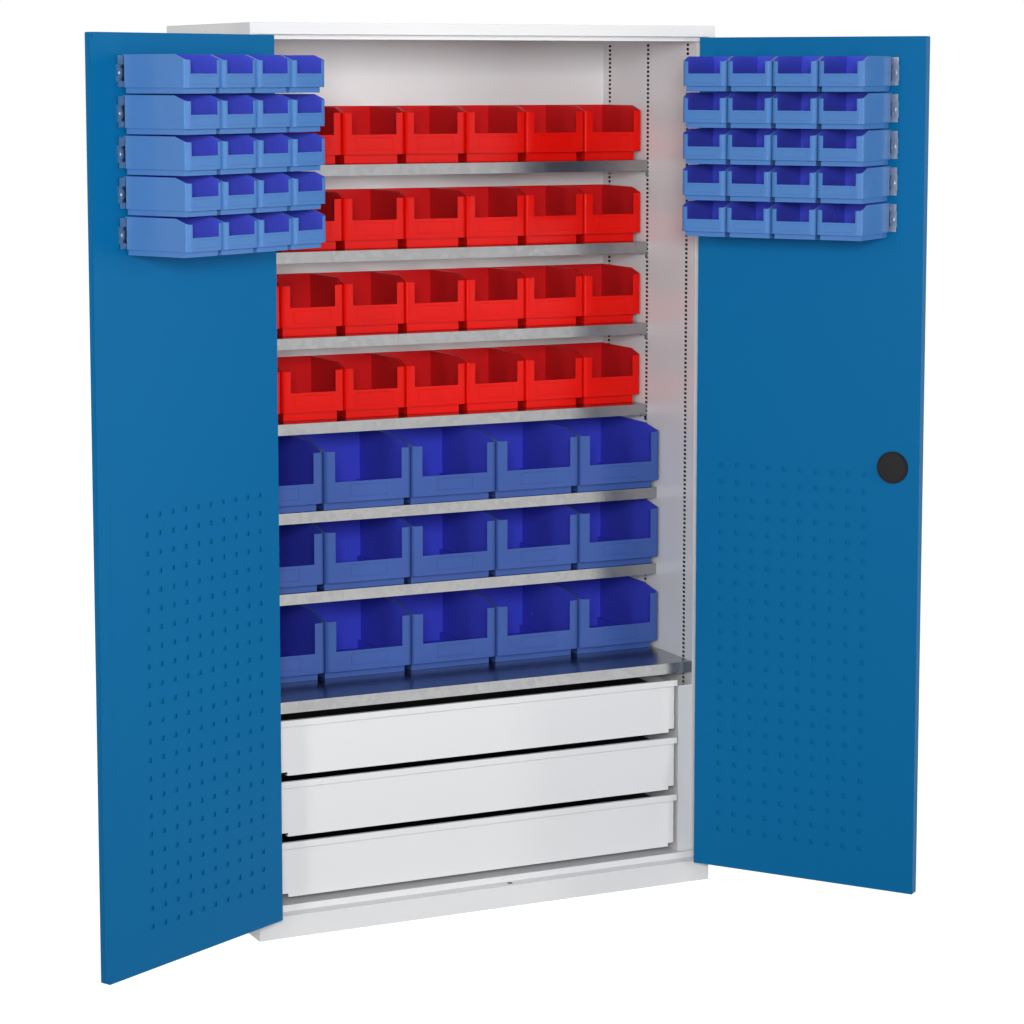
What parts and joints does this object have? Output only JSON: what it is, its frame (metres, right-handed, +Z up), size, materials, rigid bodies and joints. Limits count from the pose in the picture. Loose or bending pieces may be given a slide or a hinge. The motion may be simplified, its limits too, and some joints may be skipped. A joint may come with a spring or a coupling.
{
  "type": "tool cabinet",
  "caption": "Tall steel tool cabinet with hinged doors, shelves of open storage bins, wide drawers below, and small bins hooked on rails inside the doors.",
  "frame": {"origin": "centre of the footprint at floor level, on the underside of the base's middle bearer", "axes": "+X to the right seen from the front, +Y from the front to the back, +Z up"},
  "size_m": [1.8318, 1.0188, 1.95],
  "materials": {
    "grey_paint": "fine powder coat, satin",
    "blue_paint": "powder coat, satin",
    "galvanised_steel": "galvanised, softly mottled",
    "zinc_steel": "zinc plated",
    "red_plastic": "satin moulded plastic",
    "blue_plastic": "satin moulded plastic",
    "light_blue_plastic": "satin moulded plastic",
    "black_plastic": "satin",
    "chromed_metal": "polished"
  },
  "bodies": {
    "housing": {"side_panel_left": "grey_paint", "side_liner_left": "grey_paint", "side_panel_right": "grey_paint", "side_liner_right": "grey_paint", "back_panel": "grey_paint", "roof_panel": "grey_paint", "base_frame": "grey_paint", "floor_panel": "grey_paint", "drawer_bay_sides": "grey_paint", "hinge_frame_halves": "grey_paint", "shelf_clips": "galvanised_steel", "drawer_fixed_runners": "galvanised_steel", "shelf_1": "galvanised_steel", "shelf_2": "galvanised_steel", "shelf_3": "galvanised_steel", "shelf_4": "galvanised_steel", "shelf_5": "galvanised_steel", "shelf_6": "galvanised_steel", "shelf_7": "galvanised_steel"},
    "door_left": {"door_left_outer": "blue_paint", "door_left_liner": "blue_paint", "door_left_hinge_halves": "blue_paint", "door_left_rails": "galvanised_steel", "door_left_rail_screws": "zinc_steel", "door_left_bins_upper": "light_blue_plastic", "door_left_bins_middle": "light_blue_plastic", "door_left_bins_lower": "light_blue_plastic", "door_left_overlap_strip": "blue_paint"},
    "door_right": {"door_right_outer": "blue_paint", "door_right_liner": "blue_paint", "door_right_hinge_halves": "blue_paint", "door_right_rails": "galvanised_steel", "door_right_rail_screws": "zinc_steel", "door_right_bins_upper": "light_blue_plastic", "door_right_bins_middle": "light_blue_plastic", "door_right_bins_lower": "light_blue_plastic", "lock_handle_plate": "black_plastic", "lock_case": "zinc_steel", "lock_cover": "black_plastic"},
    "handle": {"lock_handle": "black_plastic", "lock_pinion": "zinc_steel"},
    "key_cylinder": {"lock_cylinder": "chromed_metal"},
    "rod_upper": {"lock_rod_upper": "zinc_steel"},
    "rod_lower": {"lock_rod_lower": "zinc_steel"},
    "drawer_1": {"drawer_1_front": "grey_paint", "drawer_1_tray": "grey_paint", "drawer_1_runners": "galvanised_steel"},
    "drawer_2": {"drawer_2_front": "grey_paint", "drawer_2_tray": "grey_paint", "drawer_2_runners": "galvanised_steel"},
    "drawer_3": {"drawer_3_front": "grey_paint", "drawer_3_tray": "grey_paint", "drawer_3_runners": "galvanised_steel"},
    "bin_row_1": {"red_bins_shelf_1": "red_plastic"},
    "bin_row_2": {"red_bins_shelf_2": "red_plastic"},
    "bin_row_3": {"red_bins_shelf_3": "red_plastic"},
    "bin_row_4": {"red_bins_shelf_4": "red_plastic"},
    "bin_row_5": {"blue_bins_shelf_5": "blue_plastic"},
    "bin_row_6": {"blue_bins_shelf_6": "blue_plastic"},
    "bin_row_7": {"blue_bins_shelf_7": "blue_plastic"}
  },
  "joints": [
    {"name": "door_left_hinge", "type": "hinge", "parent": "housing", "child": "door_left", "pos_m": [-0.527, -0.2735, 0.987], "axis": [0, 0, -1], "range_deg": [-151.1, 28.9]},
    {"name": "door_right_hinge", "type": "hinge", "parent": "housing", "child": "door_right", "pos_m": [0.527, -0.2735, 0.987], "axis": [0, 0, 1], "range_deg": [-125.7, 54.3]},
    {"name": "handle_turn", "type": "hinge", "parent": "door_right", "child": "handle", "pos_m": [0.79336, -0.65446, 0.995], "axis": [0.8121, 0.5835, 0], "range_deg": [0, 90]},
    {"name": "key_turn", "type": "hinge", "parent": "handle", "child": "key_cylinder", "pos_m": [0.79336, -0.65446, 0.995], "axis": [0.8121, 0.5835, 0], "range_deg": [0, 90]},
    {"name": "rod_upper_slide", "type": "slide", "parent": "door_right", "child": "rod_upper", "axis": [0, 0, 1], "range_m": [0, 0.012]},
    {"name": "rod_lower_slide", "type": "slide", "parent": "door_right", "child": "rod_lower", "axis": [0, 0, -1], "range_m": [0, 0.012]},
    {"name": "drawer_1_slide", "type": "slide", "parent": "housing", "child": "drawer_1", "axis": [0, -1, 0], "range_m": [0, 0.34]},
    {"name": "drawer_2_slide", "type": "slide", "parent": "housing", "child": "drawer_2", "axis": [0, -1, 0], "range_m": [0, 0.34]},
    {"name": "drawer_3_slide", "type": "slide", "parent": "housing", "child": "drawer_3", "axis": [0, -1, 0], "range_m": [0, 0.34]},
    {"name": "bin_row_1_slide", "type": "slide", "parent": "housing", "child": "bin_row_1", "axis": [0, -1, 0], "range_m": [0, 0.1]},
    {"name": "bin_row_2_slide", "type": "slide", "parent": "housing", "child": "bin_row_2", "axis": [0, -1, 0], "range_m": [0, 0.1]},
    {"name": "bin_row_3_slide", "type": "slide", "parent": "housing", "child": "bin_row_3", "axis": [0, -1, 0], "range_m": [0, 0.1]},
    {"name": "bin_row_4_slide", "type": "slide", "parent": "housing", "child": "bin_row_4", "axis": [0, -1, 0], "range_m": [0, 0.1]},
    {"name": "bin_row_5_slide", "type": "slide", "parent": "housing", "child": "bin_row_5", "axis": [0, -1, 0], "range_m": [0, 0.1]},
    {"name": "bin_row_6_slide", "type": "slide", "parent": "housing", "child": "bin_row_6", "axis": [0, -1, 0], "range_m": [0, 0.1]},
    {"name": "bin_row_7_slide", "type": "slide", "parent": "housing", "child": "bin_row_7", "axis": [0, -1, 0], "range_m": [0, 0.1]}
  ],
  "couplings": [
    {"joint": "handle_turn", "follows": "rod_upper_slide", "rad_per_m": 130.89},
    {"joint": "rod_lower_slide", "follows": "rod_upper_slide", "ratio": 1}
  ]
}
